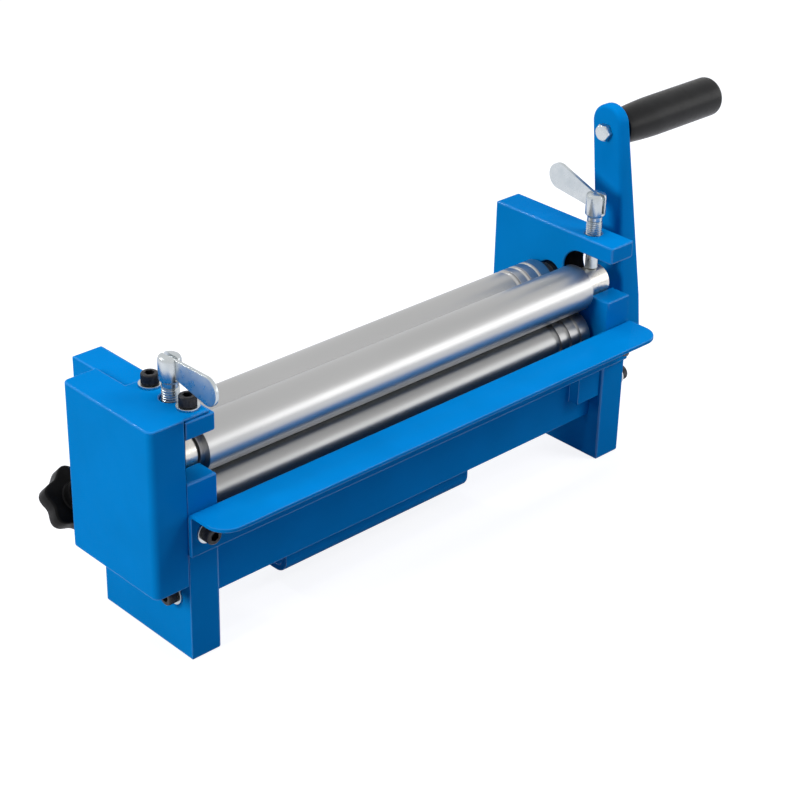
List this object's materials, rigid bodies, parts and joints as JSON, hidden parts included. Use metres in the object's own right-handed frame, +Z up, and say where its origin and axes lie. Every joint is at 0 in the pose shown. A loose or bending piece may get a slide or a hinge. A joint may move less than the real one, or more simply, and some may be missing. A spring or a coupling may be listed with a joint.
{
  "type": "plate rolling machine",
  "caption": "Hand-cranked bench slip roll: geared upper and lower rollers and a screw-set rear roller between side plates, with a feed table.",
  "frame": {"origin": "centre of the bounding box, on the plane of the feet", "axes": "+X along the rollers toward the crank, +Y from the feed table to the back, +Z up"},
  "size_m": [0.4868, 0.1686, 0.2252],
  "materials": {
    "painted_frame": "gloss",
    "roller_steel": "satin",
    "blackened_screws": "satin",
    "zinc_fittings": "bright",
    "gear_iron": "satin",
    "bearing_bronze": "satin",
    "bush_steel": "rough",
    "black_plastic": "semi-gloss"
  },
  "bodies": {
    "frame": {"left_side_plate": "painted_frame", "right_side_plate": "painted_frame", "front_table": "painted_frame", "table_screws": "blackened_screws", "table_washers": "zinc_fittings", "tie_bar": "painted_frame", "tie_screws": "blackened_screws", "tie_washers": "zinc_fittings", "vise_angle": "painted_frame", "vise_screws": "blackened_screws", "gear_cover": "painted_frame", "cover_screws": "blackened_screws", "cover_washers": "zinc_fittings", "lower_bush_left": "bearing_bronze", "lower_bush_right": "bearing_bronze"},
    "driven_roller": {"lower_roller": "roller_steel", "lower_gear": "gear_iron", "lower_gear_washer": "zinc_fittings", "lower_gear_bolt": "zinc_fittings", "crank_arm": "painted_frame", "crank_washer": "zinc_fittings", "crank_bolt": "zinc_fittings", "handle_bolt": "zinc_fittings"},
    "grip": {"crank_grip": "black_plastic"},
    "upper_bearings": {"upper_bush_left": "bush_steel", "upper_bush_right": "bush_steel"},
    "pinch_roller": {"upper_roller": "roller_steel", "upper_gear": "gear_iron", "upper_gear_washer": "zinc_fittings", "upper_gear_bolt": "zinc_fittings"},
    "left_clamp": {"left_thumb_screw": "zinc_fittings", "left_tab_pin": "zinc_fittings"},
    "left_clamp_tab": {"left_tab": "zinc_fittings"},
    "right_clamp": {"right_thumb_screw": "zinc_fittings", "right_tab_pin": "zinc_fittings"},
    "right_clamp_tab": {"right_tab": "zinc_fittings"},
    "rear_bearings": {"rear_block_left": "bush_steel", "rear_block_right": "bush_steel"},
    "bending_roller": {"rear_roller": "roller_steel"},
    "left_adjuster": {"left_adjusting_screw": "zinc_fittings", "left_star_knob": "black_plastic"},
    "right_adjuster": {"right_adjusting_screw": "zinc_fittings", "right_star_knob": "black_plastic"}
  },
  "joints": [
    {"name": "crank_spin", "type": "hinge", "parent": "frame", "child": "driven_roller", "pos_m": [-0.04483, -0.03082, 0.086], "axis": [1, 0, 0], "continuous": true},
    {"name": "grip_spin", "type": "hinge", "parent": "driven_roller", "child": "grip", "pos_m": [0.15343, -0.01711, 0.20823], "axis": [1, 0, 0], "continuous": true},
    {"name": "roller_lift", "type": "slide", "parent": "frame", "child": "upper_bearings", "axis": [0, 0, 1], "range_m": [0, 0.001]},
    {"name": "pinch_spin", "type": "hinge", "parent": "upper_bearings", "child": "pinch_roller", "pos_m": [-0.04483, -0.03082, 0.1165], "axis": [1, 0, 0], "continuous": true},
    {"name": "left_clamp_turn", "type": "hinge", "parent": "upper_bearings", "child": "left_clamp", "pos_m": [-0.21083, -0.03082, 0.15], "axis": [0, 0, 1], "range_deg": [0, 240]},
    {"name": "left_tab_fold", "type": "hinge", "parent": "left_clamp", "child": "left_clamp_tab", "pos_m": [-0.21083, -0.03082, 0.1712], "axis": [-1, 0, 0], "range_deg": [0, 190]},
    {"name": "right_clamp_turn", "type": "hinge", "parent": "upper_bearings", "child": "right_clamp", "pos_m": [0.12117, -0.03082, 0.15], "axis": [0, 0, 1], "range_deg": [0, 240]},
    {"name": "right_tab_fold", "type": "hinge", "parent": "right_clamp", "child": "right_clamp_tab", "pos_m": [0.12117, -0.03082, 0.1712], "axis": [1, 0, 0], "range_deg": [0, 171]},
    {"name": "rear_slide", "type": "slide", "parent": "frame", "child": "rear_bearings", "axis": [0, -0.7071, 0.7071], "range_m": [-0.01, 0.003]},
    {"name": "bending_spin", "type": "hinge", "parent": "rear_bearings", "child": "bending_roller", "pos_m": [-0.04483, 0.00207, 0.10872], "axis": [1, 0, 0], "continuous": true},
    {"name": "left_adjuster_turn", "type": "hinge", "parent": "rear_bearings", "child": "left_adjuster", "pos_m": [-0.21083, 0.00207, 0.10872], "axis": [0, -0.7071, 0.7071], "range_deg": [-2880, 864]},
    {"name": "right_adjuster_turn", "type": "hinge", "parent": "rear_bearings", "child": "right_adjuster", "pos_m": [0.12117, 0.00207, 0.10872], "axis": [0, -0.7071, 0.7071], "range_deg": [-2880, 864]}
  ],
  "couplings": [
    {"joint": "pinch_spin", "follows": "crank_spin", "ratio": -1},
    {"joint": "left_clamp_turn", "follows": "roller_lift", "rad_per_m": 4188.8},
    {"joint": "right_clamp_turn", "follows": "roller_lift", "rad_per_m": 4188.8},
    {"joint": "left_adjuster_turn", "follows": "rear_slide", "rad_per_m": 5026.5},
    {"joint": "right_adjuster_turn", "follows": "rear_slide", "rad_per_m": 5026.5}
  ]
}
